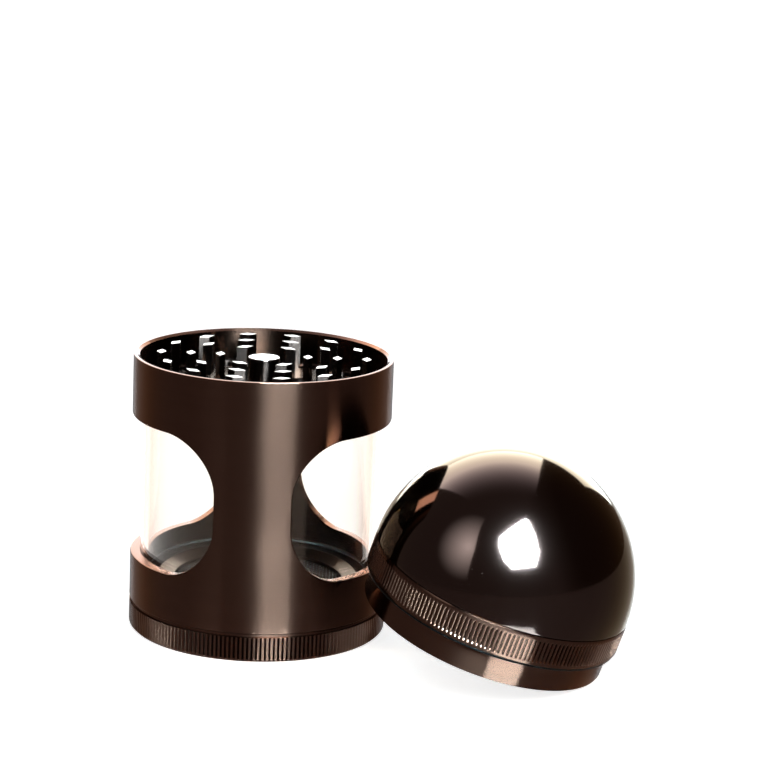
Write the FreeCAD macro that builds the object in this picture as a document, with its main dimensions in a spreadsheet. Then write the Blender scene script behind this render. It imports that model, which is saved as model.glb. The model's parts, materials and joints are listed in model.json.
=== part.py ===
import FreeCAD, Part
import Sketcher
import math
import os
import re

# Windowed herb grinder, 63 mm across, with its dome lid taken off and leaning against the body.
# Millimetres and degrees. The floor is z = 0 and the body's axis is the Z axis.
# The windows face +X and -X, and the pillars between them face -Y (front) and +Y (back).

doc = FreeCAD.newDocument("herb_grinder")

# Driving dimensions
sizes = {
    "outer_radius": 31.5,
    # Knurled catcher at the bottom
    "base_bevel": 0.6,
    "grip_top": 6.05,
    "grip_relief": 0.9,
    "grip_edge": 0.3,
    "spigot_top": 11.4,
    "spigot_gap": 0.4,
    "spigot_wall": 2.7,
    "spigot_lip": 1.3,
    "spigot_chamfer": 0.4,
    "cup_floor": 2.4,
    "cup_fillet": 4.0,
    # Screen and its ring
    "mesh_thickness": 0.4,
    "mesh_gap": 0.1,
    "ring_lip": 0.4,
    "ring_flange": 1.8,
    "ring_land": 4.4,
    "ring_bevel_width": 3.6,
    "ring_bevel_depth": 1.3,
    # Clear tube and its seals
    "tube_wall": 1.8,
    "tube_gap": 0.1,
    "seal_thickness": 0.8,
    "seal_inset": 0.1,
    "seat_gap": 0.05,
    # Windowed sleeve
    "sleeve_wall": 2.4,
    "sleeve_bottom": 6.95,
    "sleeve_chamfer": 0.35,
    "rim_height": 67.8,
    "rim_wall": 1.5,
    "rim_chamfer": 0.5,
    "rim_inner_chamfer": 0.25,
    "ledge_width": 1.7,
    "ledge_thickness": 1.25,
    "window_bottom": 18.5,
    "window_top": 52.9,
    "window_corner": 13.6,
    "window_chamfer": 0.35,
    "pillar_half_angle": 17.2,
    # Grinding plate in the top of the sleeve
    "plate_thickness": 3.1,
    "plate_gap": 0.05,
    "chamber_depth": 7.5,
    "tooth_drop": 0.3,
    "tooth_length": 4.5,
    "tooth_width": 2.3,
    "tooth_clear": 1.55,
    "first_ring_radius": 10.6,
    "inner_teeth": 6,
    "middle_teeth": 10,
    "outer_teeth": 14,
    "hole_radius": 3.0,
    "hole_edge": 0.4,
    "post_radius": 3.8,
    "post_drop": 0.7,
    "magnet_radius": 3.0,
    "magnet_thickness": 2.8,
    "magnet_gap": 0.05,
    # Lid
    "skirt_gap": 0.2,
    "skirt_wall": 2.2,
    "skirt_length": 6.8,
    "skirt_chamfer": 0.25,
    "band_height": 7.4,
    "band_bevel": 0.4,
    "band_wall": 2.9,
    "seam_groove": 0.25,
    "ceiling_rise": 0.4,
    "ceiling_thickness": 3.0,
    "boss_radius": 6.0,
    "boss_drop": 1.2,
    "lid_tooth_drop": 0.2,
    "lid_inner_teeth": 8,
    "lid_outer_teeth": 12,
    "glide_thickness": 0.45,
    "glide_inset": 0.3,
    "glide_gap": 0.1,
    "dome_height": 31.0,
    "dome_crown_wall": 3.0,
    "dome_lip_depth": 3.4,
    "dome_lip_wall": 1.9,
    "dome_lip_gap": 0.1,
    # How the lid leans
    "lean_direction": -17.83,
    "lid_direction": -23.35,
    "lean_drop": 0.3273,
    "lean_gap": 0.3,
}

sheet = doc.addObject("Spreadsheet::Sheet", "Sizes")
for row, (alias, value) in enumerate(sizes.items(), start=1):
    sheet.set(f"A{row}", alias)
    sheet.set(f"B{row}", str(value))
    sheet.setAlias(f"B{row}", alias)
doc.recompute()

# Sizes worked out from the driving dimensions, as expressions
worked = {
    "bore_radius": "outer_radius - sleeve_wall",
    "chamber_radius": "outer_radius - rim_wall",
    "ledge_radius": "bore_radius - ledge_width",
    "cut_inside": "bore_radius - tube_wall",
    "cut_outside": "outer_radius + tube_wall",
    "tube_radius": "bore_radius - tube_gap",
    "spigot_radius": "bore_radius - spigot_gap",
    "cup_radius": "spigot_radius - spigot_wall",
    "shoulder_top": "sleeve_bottom - seat_gap",
    "mesh_seat_radius": "spigot_radius - spigot_lip",
    "mesh_radius": "mesh_seat_radius - mesh_gap",
    "mesh_bottom": "spigot_top - ring_lip - mesh_thickness",
    "mesh_top": "spigot_top - ring_lip",
    "ring_top": "spigot_top + ring_flange",
    "ring_mouth_radius": "spigot_radius - ring_land",
    "ring_throat_radius": "ring_mouth_radius - ring_bevel_width",
    "tube_bottom": "ring_top + seat_gap + seal_thickness",
    "plate_top": "rim_height - chamber_depth",
    "plate_bottom": "plate_top - plate_thickness",
    "ledge_bottom": "plate_bottom - ledge_thickness",
    "tube_top": "ledge_bottom - seat_gap - seal_thickness",
    "skirt_radius": "chamber_radius - skirt_gap",
    "skirt_inner_radius": "skirt_radius - skirt_wall",
    "third_ring_radius": "skirt_inner_radius - tooth_clear - tooth_width / 2",
    "ring_step": "(third_ring_radius - first_ring_radius) / 2",
    "second_ring_radius": "first_ring_radius + ring_step",
    "inner_gap_radius": "first_ring_radius + ring_step / 2",
    "outer_gap_radius": "second_ring_radius + ring_step / 2",
    "outer_hole_ring": "ledge_radius - hole_edge - hole_radius",
    "tooth_height": "chamber_depth - tooth_drop",
    "post_top": "rim_height - post_drop",
    "magnet_pocket_radius": "magnet_radius + magnet_gap",
    "magnet_pocket_depth": "magnet_thickness + magnet_gap",
    "band_top": "skirt_length + band_height",
    "band_bore_radius": "outer_radius - band_wall",
    "ceiling_bottom": "skirt_length + ceiling_rise",
    "ceiling_top": "ceiling_bottom + ceiling_thickness",
    "boss_bottom": "ceiling_bottom - boss_drop",
    "dome_lip_radius": "band_bore_radius - dome_lip_gap",
    "dome_bore_radius": "dome_lip_radius - dome_lip_wall",
    "glide_top": "skirt_length - seat_gap",
    "corner_angle": "asin(window_corner / outer_radius) + pillar_half_angle",
    "lean_tilt": "asin((window_bottom - lean_drop) / (2 * skirt_radius - skirt_chamfer))",
    "lean_offset": "lid_direction - lean_direction",
    "skirt_reach": "skirt_radius * sqrt((cos(lean_tilt) * cos(lean_offset))^2 + sin(lean_offset)^2)",
    "band_reach": "outer_radius * sqrt((cos(lean_tilt) * cos(lean_offset))^2 + sin(lean_offset)^2)"
                  " - skirt_length * sin(lean_tilt) * cos(lean_offset)",
    "lid_distance": "outer_radius + lean_gap + max(skirt_reach; band_reach)",
}
angle_sizes = {"pillar_half_angle", "lean_direction", "lid_direction"}
match_tolerance = 1e-4


def expression(text):
    def replace(match):
        word = match.group(0)
        if word in worked:
            return "(" + expression(worked[word]) + ")"
        if word in angle_sizes:
            return "(Sizes." + word + " * 1 deg)"
        if word in sizes:
            return "Sizes." + word
        return word
    return re.sub(r"[a-z_]+", replace, text)


def number(text):
    value = sheet.evalExpression(expression(text))
    return float(getattr(value, "Value", value))


# Sketches and features

def origin_part(body, role):
    return next(part for part in body.Origin.OriginFeatures if part.Role == role)


def add_sketch(body, name, plane, lift=None):
    sketch = body.newObject("Sketcher::SketchObject", name)
    sketch.AttachmentSupport = (origin_part(body, plane), [""])
    sketch.MapMode = "FlatFace"
    if lift is not None:
        sketch.setExpression("AttachmentOffset.Base.z", expression(lift))
    return sketch


def bind(sketch, kind, geometry, vertex, text, name):
    index = sketch.addConstraint(Sketcher.Constraint(kind, -1, 1, geometry, vertex, number(text)))
    sketch.renameConstraint(index, name)
    sketch.setExpression("Constraints." + name, expression(text))


def pin_corner(sketch, geometry, vertex, corner, name):
    across, up = corner
    if across == "0":
        sketch.addConstraint(Sketcher.Constraint("PointOnObject", geometry, vertex, -2))
    else:
        bind(sketch, "DistanceX", geometry, vertex, across, name + "_across")
    if up == "0":
        sketch.addConstraint(Sketcher.Constraint("PointOnObject", geometry, vertex, -1))
    else:
        bind(sketch, "DistanceY", geometry, vertex, up, name + "_up")


def arc_about_axis(start, end):
    # The arc's centre lies on the axis, level with neither end.
    centre_up = (end.x**2 + end.y**2 - start.x**2 - start.y**2) / (2 * (end.y - start.y))
    centre = FreeCAD.Vector(0, centre_up, 0)
    radius = (start - centre).Length
    middle = centre + ((start + end) * 0.5 - centre).normalize() * radius
    return Part.Arc(start, middle, end)


def closed_outline(sketch, corners, domes=()):
    points = [FreeCAD.Vector(number(across), number(up), 0) for across, up in corners]
    ends = []
    for index, start in enumerate(points):
        end = points[(index + 1) % len(points)]
        if index in domes:
            geometry = sketch.addGeometry(arc_about_axis(start, end), False)
            sketch.addConstraint(Sketcher.Constraint("PointOnObject", geometry, 3, -2))
            forward = (sketch.getPoint(geometry, 1) - start).Length < match_tolerance
            ends.append((geometry, (1, 2) if forward else (2, 1)))
        else:
            geometry = sketch.addGeometry(Part.LineSegment(start, end), False)
            ends.append((geometry, (1, 2)))
    for index, (geometry, vertices) in enumerate(ends):
        following, following_vertices = ends[(index + 1) % len(ends)]
        joint = Sketcher.Constraint("Coincident", geometry, vertices[1], following, following_vertices[0])
        sketch.addConstraint(joint)
    for index, (geometry, vertices) in enumerate(ends):
        pin_corner(sketch, geometry, vertices[0], corners[index], f"corner_{index}")


def turned(label, corners, domes=()):
    body = doc.addObject("PartDesign::Body", label)
    profile = add_sketch(body, label + "_profile", "XZ_Plane")
    closed_outline(profile, corners, domes)
    revolution = body.newObject("PartDesign::Revolution", label + "_turning")
    revolution.Profile = profile
    revolution.ReferenceAxis = (profile, ["V_Axis"])
    revolution.Angle = 360
    doc.recompute()
    return body


def polar_pattern(body, feature, count):
    pattern = body.newObject("PartDesign::PolarPattern", feature.Name + "_ring")
    pattern.Originals = [feature]
    pattern.Axis = (origin_part(body, "Z_Axis"), [""])
    pattern.Angle = 360
    pattern.setExpression("Occurrences", expression(count))
    body.Tip = pattern
    doc.recompute()


def tooth_ring(body, name, radius, count, foot, height, downwards=False):
    # One diamond tooth, long along the ring, then its copies round the axis
    sketch = add_sketch(body, name + "_outline", "XY_Plane", foot)
    inner, outer = f"{radius} - tooth_width / 2", f"{radius} + tooth_width / 2"
    half_length = number("tooth_length / 2")
    points = [
        FreeCAD.Vector(number(inner), 0, 0),
        FreeCAD.Vector(number(radius), half_length, 0),
        FreeCAD.Vector(number(outer), 0, 0),
        FreeCAD.Vector(number(radius), -half_length, 0),
    ]
    for start, end in zip(points, points[1:] + points[:1]):
        sketch.addGeometry(Part.LineSegment(start, end), False)
    for line in range(4):
        sketch.addConstraint(Sketcher.Constraint("Coincident", line, 2, (line + 1) % 4, 1))
    pin_corner(sketch, 0, 1, (inner, "0"), "inner_tip")
    pin_corner(sketch, 1, 1, (radius, "tooth_length / 2"), "left_tip")
    pin_corner(sketch, 2, 1, (outer, "0"), "outer_tip")
    sketch.addConstraint(Sketcher.Constraint("Symmetric", 1, 1, 3, 1, -1))
    pad = body.newObject("PartDesign::Pad", name)
    pad.Profile = sketch
    pad.Reversed = downwards
    pad.setExpression("Length", expression(height))
    doc.recompute()
    polar_pattern(body, pad, count)


def hole_ring(body, name, radius, teeth):
    # One hole midway between two teeth, then its copies round the axis
    sketch = add_sketch(body, name + "_outline", "XY_Plane", "plate_top")
    across, up = f"{radius} * cos(180 deg / {teeth})", f"{radius} * sin(180 deg / {teeth})"
    centre = FreeCAD.Vector(number(across), number(up), 0)
    sketch.addGeometry(Part.Circle(centre, FreeCAD.Vector(0, 0, 1), number("hole_radius")), False)
    pin_corner(sketch, 0, 3, (across, up), "centre")
    index = sketch.addConstraint(Sketcher.Constraint("Radius", 0, number("hole_radius")))
    sketch.renameConstraint(index, "hole_size")
    sketch.setExpression("Constraints.hole_size", expression("hole_radius"))
    pocket = body.newObject("PartDesign::Pocket", name)
    pocket.Profile = sketch
    pocket.setExpression("Length", expression("plate_thickness"))
    doc.recompute()
    polar_pattern(body, pocket, teeth)


def circle_edges(body, radius, height):
    names = []
    for index, edge in enumerate(body.Shape.Edges, start=1):
        curve = edge.Curve
        if not isinstance(curve, Part.Circle):
            continue
        beside = abs(curve.Radius - number(radius)) < match_tolerance
        level = abs(curve.Center.z - number(height)) < match_tolerance
        if beside and level:
            names.append(f"Edge{index}")
    return names


def disc(label, radius, bottom, height):
    cylinder = doc.addObject("Part::Cylinder", label)
    cylinder.setExpression("Radius", expression(radius))
    cylinder.setExpression("Height", expression(height))
    cylinder.setExpression("Placement.Base.z", expression(bottom))
    return cylinder


# Catcher: knurled grip, shoulder, spigot and round-bottomed cup
catcher_cup = turned("catcher_cup", [
    ("0", "0"),
    ("outer_radius - base_bevel", "0"),
    ("outer_radius", "base_bevel"),
    ("outer_radius", "grip_top - grip_edge"),
    ("outer_radius - grip_edge", "grip_top"),
    ("outer_radius - grip_relief", "grip_top"),
    ("outer_radius - grip_relief", "shoulder_top"),
    ("spigot_radius", "shoulder_top"),
    ("spigot_radius", "spigot_top - spigot_chamfer"),
    ("spigot_radius - spigot_chamfer", "spigot_top"),
    ("mesh_seat_radius", "spigot_top"),
    ("mesh_seat_radius", "mesh_bottom"),
    ("cup_radius", "mesh_bottom"),
    ("cup_radius", "cup_floor"),
    ("0", "cup_floor"),
])
cup_corner = (catcher_cup.Tip, circle_edges(catcher_cup, "cup_radius", "cup_floor"))
cup_round = catcher_cup.newObject("PartDesign::Fillet", "cup_round")
cup_round.Base = cup_corner
cup_round.setExpression("Radius", expression("cup_fillet"))

# Screen mesh, lying in the top of the spigot, and the ring that holds it down
screen_mesh = disc("screen_mesh", "mesh_radius", "mesh_bottom", "mesh_thickness")

screen_ring = turned("screen_ring", [
    ("ring_throat_radius", "mesh_top"),
    ("mesh_radius", "mesh_top"),
    ("mesh_radius", "spigot_top"),
    ("spigot_radius", "spigot_top"),
    ("spigot_radius", "ring_top"),
    ("ring_mouth_radius", "ring_top"),
    ("ring_throat_radius", "ring_top - ring_bevel_depth"),
])

# Clear tube between two flat seals
window_tube = turned("window_tube", [
    ("tube_radius - tube_wall", "tube_bottom"),
    ("tube_radius", "tube_bottom"),
    ("tube_radius", "tube_top"),
    ("tube_radius - tube_wall", "tube_top"),
])


def tube_seal(label, bottom):
    top = f"{bottom} + seal_thickness"
    return turned(label, [
        ("tube_radius - tube_wall", bottom),
        ("tube_radius - seal_inset", bottom),
        ("tube_radius - seal_inset", top),
        ("tube_radius - tube_wall", top),
    ])


tube_seal_bottom = tube_seal("tube_seal_bottom", "tube_bottom - seal_thickness")
tube_seal_top = tube_seal("tube_seal_top", "tube_top")

# Sleeve: bore for the tube, ledge for the plate, chamber for the lid's skirt
body_sleeve = turned("body_sleeve", [
    ("bore_radius", "sleeve_bottom"),
    ("outer_radius - sleeve_chamfer", "sleeve_bottom"),
    ("outer_radius", "sleeve_bottom + sleeve_chamfer"),
    ("outer_radius", "rim_height - rim_chamfer"),
    ("outer_radius - rim_chamfer", "rim_height"),
    ("chamber_radius + rim_inner_chamfer", "rim_height"),
    ("chamber_radius", "rim_height - rim_inner_chamfer"),
    ("chamber_radius", "plate_bottom"),
    ("ledge_radius", "plate_bottom"),
    ("ledge_radius", "ledge_bottom"),
    ("bore_radius", "ledge_bottom"),
])

# Middle of each window: a sector cut round the axis, from the bore to the outside
sector = add_sketch(body_sleeve, "window_sector", "XZ_Plane")
closed_outline(sector, [
    ("cut_inside", "window_bottom"),
    ("cut_outside", "window_bottom"),
    ("cut_outside", "window_top"),
    ("cut_inside", "window_top"),
])
window_cut = body_sleeve.newObject("PartDesign::Groove", "window_cut")
window_cut.Profile = sector
window_cut.ReferenceAxis = (sector, ["V_Axis"])
window_cut.Midplane = True
window_cut.setExpression("Angle", expression("180 deg - 2 * corner_angle"))
doc.recompute()
window_pair = body_sleeve.newObject("PartDesign::PolarPattern", "window_pair")
window_pair.Originals = [window_cut]
window_pair.Axis = (origin_part(body_sleeve, "Z_Axis"), [""])
window_pair.Angle = 360
window_pair.Occurrences = 2
body_sleeve.Tip = window_pair
doc.recompute()


def window_end(name, side):
    # Upright slot cut straight through, which rounds one end of each window
    sketch = add_sketch(body_sleeve, name + "_outline", "XZ_Plane")
    turn = f"{side} * corner_angle"
    sketch.AttachmentOffset = FreeCAD.Placement(
        FreeCAD.Vector(), FreeCAD.Rotation(FreeCAD.Vector(0, 1, 0), number(turn)))
    sketch.setExpression("AttachmentOffset.Rotation.Angle", expression(turn))
    corner = number("window_corner")
    low = FreeCAD.Vector(0, number("window_bottom + window_corner"), 0)
    high = FreeCAD.Vector(0, number("window_top - window_corner"), 0)
    normal = FreeCAD.Vector(0, 0, 1)
    sideways = FreeCAD.Vector(corner, 0, 0)
    sketch.addGeometry(Part.ArcOfCircle(Part.Circle(high, normal, corner), 0, math.pi), False)
    sketch.addGeometry(Part.ArcOfCircle(Part.Circle(low, normal, corner), math.pi, 2 * math.pi), False)
    sketch.addGeometry(Part.LineSegment(high - sideways, low - sideways), False)
    sketch.addGeometry(Part.LineSegment(low + sideways, high + sideways), False)
    sketch.addConstraint(Sketcher.Constraint("Tangent", 0, 2, 2, 1))
    sketch.addConstraint(Sketcher.Constraint("Tangent", 2, 2, 1, 1))
    sketch.addConstraint(Sketcher.Constraint("Tangent", 1, 2, 3, 1))
    sketch.addConstraint(Sketcher.Constraint("Tangent", 3, 2, 0, 1))
    pin_corner(sketch, 0, 3, ("0", "window_top - window_corner"), "high_centre")
    pin_corner(sketch, 1, 3, ("0", "window_bottom + window_corner"), "low_centre")
    index = sketch.addConstraint(Sketcher.Constraint("Radius", 0, corner))
    sketch.renameConstraint(index, "corner_size")
    sketch.setExpression("Constraints.corner_size", expression("window_corner"))
    pocket = body_sleeve.newObject("PartDesign::Pocket", name)
    pocket.Profile = sketch
    pocket.Midplane = True
    pocket.setExpression("Length", expression("2 * cut_outside"))
    body_sleeve.Tip = pocket
    doc.recompute()


window_end("left_window_end", 1)
window_end("right_window_end", -1)


def window_edges(body):
    # Edges of the windows on the sleeve's outside
    names = []
    for index, edge in enumerate(body.Shape.Edges, start=1):
        stops = [vertex.Point for vertex in edge.Vertexes] + [edge.valueAt(sum(edge.ParameterRange) / 2)]
        depths = [number("outer_radius") - math.hypot(stop.x, stop.y) for stop in stops]
        outside = all(abs(depth) < match_tolerance for depth in depths)
        lowest = number("window_bottom") - match_tolerance
        highest = number("window_top") + match_tolerance
        level = all(lowest < stop.z < highest for stop in stops)
        if outside and level:
            names.append(f"Edge{index}")
    return names


window_outline = (body_sleeve.Tip, window_edges(body_sleeve))
window_bevel = body_sleeve.newObject("PartDesign::Chamfer", "window_bevel")
window_bevel.Base = window_outline
window_bevel.setExpression("Size", expression("window_chamfer"))
doc.recompute()

# Grinding plate: magnet post in the middle, and a hole for the ground herb between each two teeth
# of the inner and outer rings
grind_plate = turned("grind_plate", [
    ("0", "plate_bottom"),
    ("chamber_radius - plate_gap", "plate_bottom"),
    ("chamber_radius - plate_gap", "plate_top"),
    ("post_radius", "plate_top"),
    ("post_radius", "post_top"),
    ("magnet_pocket_radius", "post_top"),
    ("magnet_pocket_radius", "post_top - magnet_pocket_depth"),
    ("0", "post_top - magnet_pocket_depth"),
])
hole_ring(grind_plate, "inner_hole", "first_ring_radius", "inner_teeth")
hole_ring(grind_plate, "outer_hole", "outer_hole_ring", "outer_teeth")

# The plate's teeth: separate diamonds, standing on the plate in three rings
plate_teeth = doc.addObject("PartDesign::Body", "plate_teeth")
plate_teeth.AllowCompound = True
tooth_ring(plate_teeth, "inner_tooth", "first_ring_radius", "inner_teeth", "plate_top", "tooth_height")
tooth_ring(plate_teeth, "middle_tooth", "second_ring_radius", "middle_teeth", "plate_top", "tooth_height")
tooth_ring(plate_teeth, "outer_tooth", "third_ring_radius", "outer_teeth", "plate_top", "tooth_height")
plate_tooth_count = round(number("inner_teeth + middle_teeth + outer_teeth"))

plate_magnet = disc("plate_magnet", "magnet_radius", "post_top - magnet_pocket_depth", "magnet_thickness")

# Lid, in its own frame: z = 0 at the skirt's edge, +Z towards the dome
lid_tooth_plate = turned("lid_tooth_plate", [
    ("0", "ceiling_top"),
    ("0", "boss_bottom + magnet_pocket_depth"),
    ("magnet_pocket_radius", "boss_bottom + magnet_pocket_depth"),
    ("magnet_pocket_radius", "boss_bottom"),
    ("boss_radius", "boss_bottom"),
    ("boss_radius", "ceiling_bottom"),
    ("skirt_inner_radius", "ceiling_bottom"),
    ("skirt_inner_radius", "0"),
    ("skirt_radius - skirt_chamfer", "0"),
    ("skirt_radius", "skirt_chamfer"),
    ("skirt_radius", "skirt_length"),
    ("outer_radius - band_bevel", "skirt_length"),
    ("outer_radius", "skirt_length + band_bevel"),
    ("outer_radius", "band_top - seam_groove"),
    ("outer_radius - seam_groove", "band_top"),
    ("band_bore_radius", "band_top"),
    ("band_bore_radius", "ceiling_top"),
])
lid_tooth_height = "ceiling_bottom - lid_tooth_drop"
tooth_ring(lid_tooth_plate, "lid_inner_tooth", "inner_gap_radius", "lid_inner_teeth",
           "ceiling_bottom", lid_tooth_height, downwards=True)
tooth_ring(lid_tooth_plate, "lid_outer_tooth", "outer_gap_radius", "lid_outer_teeth",
           "ceiling_bottom", lid_tooth_height, downwards=True)

glide_ring = turned("glide_ring", [
    ("skirt_radius + glide_gap", "glide_top - glide_thickness"),
    ("outer_radius - glide_inset", "glide_top - glide_thickness"),
    ("outer_radius - glide_inset", "glide_top"),
    ("skirt_radius + glide_gap", "glide_top"),
])

lid_magnet = turned("lid_magnet", [
    ("0", "boss_bottom + magnet_gap"),
    ("magnet_radius", "boss_bottom + magnet_gap"),
    ("magnet_radius", "boss_bottom + magnet_pocket_depth"),
    ("0", "boss_bottom + magnet_pocket_depth"),
])

# Dome: hollow cap with a lip that is pressed into the band
dome_cap = turned("dome_cap", [
    ("outer_radius - seam_groove", "band_top"),
    ("outer_radius", "band_top + seam_groove"),
    ("0", "band_top + dome_height"),
    ("0", "band_top + dome_height - dome_crown_wall"),
    ("dome_bore_radius", "band_top"),
    ("dome_bore_radius", "band_top - dome_lip_depth"),
    ("dome_lip_radius", "band_top - dome_lip_depth"),
    ("dome_lip_radius", "band_top"),
], domes=(1, 3))

# The lid leans away from the body: one side of its skirt's edge is on the floor, and the raised side
# is against the sleeve, just below the window
lid_pieces = [lid_tooth_plate, glide_ring, lid_magnet, dome_cap]
tilt_axis = FreeCAD.Vector(number("-sin(lean_direction)"), number("cos(lean_direction)"), 0)
for piece in lid_pieces:
    piece.Placement = FreeCAD.Placement(FreeCAD.Vector(), FreeCAD.Rotation(tilt_axis, number("lean_tilt")))
    piece.setExpression("Placement.Rotation.Angle", expression("lean_tilt"))
    piece.setExpression("Placement.Base.x", expression("lid_distance * cos(lid_direction)"))
    piece.setExpression("Placement.Base.y", expression("lid_distance * sin(lid_direction)"))
    piece.setExpression("Placement.Base.z", expression("(skirt_radius - skirt_chamfer) * sin(lean_tilt)"))

doc.recompute()

# Check every object, then write each piece to its own file
for item in doc.Objects:
    if "Invalid" in item.State or "Error" in item.State:
        raise RuntimeError(item.Label + " did not compute: " + str(item.State))

pieces = [
    catcher_cup, screen_mesh, screen_ring,
    window_tube, tube_seal_bottom, tube_seal_top,
    body_sleeve, grind_plate, plate_teeth, plate_magnet,
] + lid_pieces
os.makedirs("parts", exist_ok=True)
for piece in pieces:
    shape = piece.Shape
    solid_count = plate_tooth_count if piece is plate_teeth else 1
    if shape.isNull() or not shape.isValid() or len(shape.Solids) != solid_count:
        raise RuntimeError(f"{piece.Label} is not {solid_count} valid solid(s)")
for piece in pieces:
    piece.Shape.exportStep(os.path.join("parts", piece.Label + ".step"))
    box = piece.Shape.BoundBox
    print(f"{piece.Label}: {piece.Shape.Volume:.1f} mm3, z {box.ZMin:.2f} to {box.ZMax:.2f}")
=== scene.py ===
import bpy
import bmesh
import json
import math
from mathutils import Matrix, Vector


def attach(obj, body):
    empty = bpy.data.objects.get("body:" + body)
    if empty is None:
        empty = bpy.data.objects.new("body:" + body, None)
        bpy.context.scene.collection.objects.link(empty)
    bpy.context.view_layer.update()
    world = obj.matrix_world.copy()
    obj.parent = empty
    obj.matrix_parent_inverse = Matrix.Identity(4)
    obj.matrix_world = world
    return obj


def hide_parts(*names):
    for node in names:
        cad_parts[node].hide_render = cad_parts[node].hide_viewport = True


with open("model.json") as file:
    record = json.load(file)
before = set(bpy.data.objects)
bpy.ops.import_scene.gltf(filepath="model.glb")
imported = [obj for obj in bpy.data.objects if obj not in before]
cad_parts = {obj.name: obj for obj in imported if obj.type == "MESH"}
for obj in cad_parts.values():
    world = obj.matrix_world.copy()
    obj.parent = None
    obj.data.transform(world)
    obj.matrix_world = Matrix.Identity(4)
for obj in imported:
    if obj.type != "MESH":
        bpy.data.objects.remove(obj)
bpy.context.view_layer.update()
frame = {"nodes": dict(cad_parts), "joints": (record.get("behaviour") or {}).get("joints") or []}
mm = 0.001
fullTurn = 2 * math.pi
mergeDistance = 1e-6
seamDistance = mergeDistance * 5
sliceDistance = mergeDistance / 10
latheMap = dict(name="lathe", flatFacing=0.7, perMetre=6)
print("frame loaded with", len(frame["nodes"]), "nodes")

# the lid leans on the body, so its pieces are turned upright and then stood on its own axis
lidJoint = next(joint for joint in frame["joints"] if joint["name"] == "lid_turn")
lidTurned = Vector((0, 0, 1)).rotation_difference(Vector(lidJoint["axis"]))
lidPlace = Matrix.Translation(Vector(lidJoint["pos_m"])) @ lidTurned.to_matrix().to_4x4()
bodyPlace = Matrix.Identity(4)


def everything(bm):
    return bm.verts[:] + bm.edges[:] + bm.faces[:]


def vertsOf(parts):
    return [part for part in parts if isinstance(part, bmesh.types.BMVert)]


def turnBy(bm, angle, verts):
    bmesh.ops.rotate(bm, cent=(0, 0, 0), matrix=Matrix.Rotation(angle, 3, "Z"), verts=verts)


def roundOff(bm, parts, rounding, rounds, affect="EDGES"):
    bmesh.ops.bevel(bm, geom=parts, offset=rounding * mm, offset_type="OFFSET",
                    segments=rounds, profile=0.5, affect=affect, material=-1)


def pullOut(bm, offset):
    # gives a flat outline its depth
    grown = bmesh.ops.extrude_face_region(bm, geom=bm.faces[:])["geom"]
    bmesh.ops.translate(bm, vec=offset, verts=vertsOf(grown))


def drawSection(bm, corners, rounds=3):
    # corners are (radius, height, rounding) in mm, in order round the section
    points = [bm.verts.new((radius * mm, 0, height * mm)) for radius, height, rounding in corners]
    bm.faces.new(points)
    for point, (radius, height, rounding) in zip(points, corners):
        if rounding:
            roundOff(bm, [point], rounding, rounds, "VERTICES")


def turnSection(bm, steps):
    onAxis = [edge for edge in bm.edges if max(vert.co.x for vert in edge.verts) < mergeDistance]
    bmesh.ops.delete(bm, geom=bm.faces[:], context="FACES_ONLY")
    bmesh.ops.delete(bm, geom=onAxis, context="EDGES")
    eighth = fullTurn / 8    # an eighth is spun and then doubled three times, which is far quicker
    bmesh.ops.spin(bm, geom=bm.verts[:] + bm.edges[:], cent=(0, 0, 0), axis=(0, 0, 1),
                   angle=eighth, steps=steps // 8)
    for doubled in (1, 2, 4):
        copied = bmesh.ops.duplicate(bm, geom=everything(bm))["geom"]
        turnBy(bm, eighth * doubled, vertsOf(copied))
    bmesh.ops.remove_doubles(bm, verts=bm.verts[:], dist=mergeDistance)
    bmesh.ops.recalc_face_normals(bm, faces=bm.faces[:])


def turned(corners, steps=256, rounds=3):
    bm = bmesh.new()
    drawSection(bm, corners, rounds)
    turnSection(bm, steps)
    return bm


def squareRing(bore, radius, foot, top, rounding):
    return turned([
        (bore, foot, rounding),
        (radius, foot, rounding),
        (radius, top, rounding),
        (bore, top, rounding),
    ])


def domeArc(start, end, steps):
    # a stretch of circle about a point on the axis, from (radius, height) to (radius, height)
    middle = (end[0] ** 2 + end[1] ** 2 - start[0] ** 2 - start[1] ** 2) / (2 * (end[1] - start[1]))
    reach = math.hypot(start[0], start[1] - middle)
    first = math.atan2(start[0], start[1] - middle)
    last = math.atan2(end[0], end[1] - middle)
    arc = []
    for step in range(1, steps):
        angle = first + (last - first) * step / steps
        arc.append((reach * math.sin(angle), middle + reach * math.cos(angle), 0))
    return arc


def pressKnurl(bm, depths, low, high):
    # the wall's columns go in by the depths given, over and over, which leaves upright bars
    columnAngle = fullTurn / knurlSteps
    root = (outerRadius - max(depths)) * mm
    for vert in bm.verts:
        radius = math.hypot(vert.co.x, vert.co.y)
        column = round(math.atan2(vert.co.y, vert.co.x) / columnAngle) % len(depths)
        wanted = (outerRadius - depths[column]) * mm
        if radius > max(root, wanted) and low * mm < vert.co.z < high * mm:
            vert.co.x *= wanted / radius
            vert.co.y *= wanted / radius


def ringOf(bm, count):
    # repeats what is in the mesh round the axis
    bmesh.ops.spin(bm, geom=everything(bm), cent=(0, 0, 0), axis=(0, 0, 1),
                   angle=fullTurn * (count - 1) / count, steps=count - 1, use_duplicate=True)


def joinMeshes(bm, other):
    # copies another mesh in beside this one
    spare = bpy.data.meshes.new("spare")
    other.to_mesh(spare)
    other.free()
    bm.from_mesh(spare)
    bpy.data.meshes.remove(spare)


def addObject(bm, name):
    mesh = bpy.data.meshes.new(name)
    bm.to_mesh(mesh)
    bm.free()
    item = bpy.data.objects.new(name, mesh)
    bpy.context.scene.collection.objects.link(item)
    return item


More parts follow.
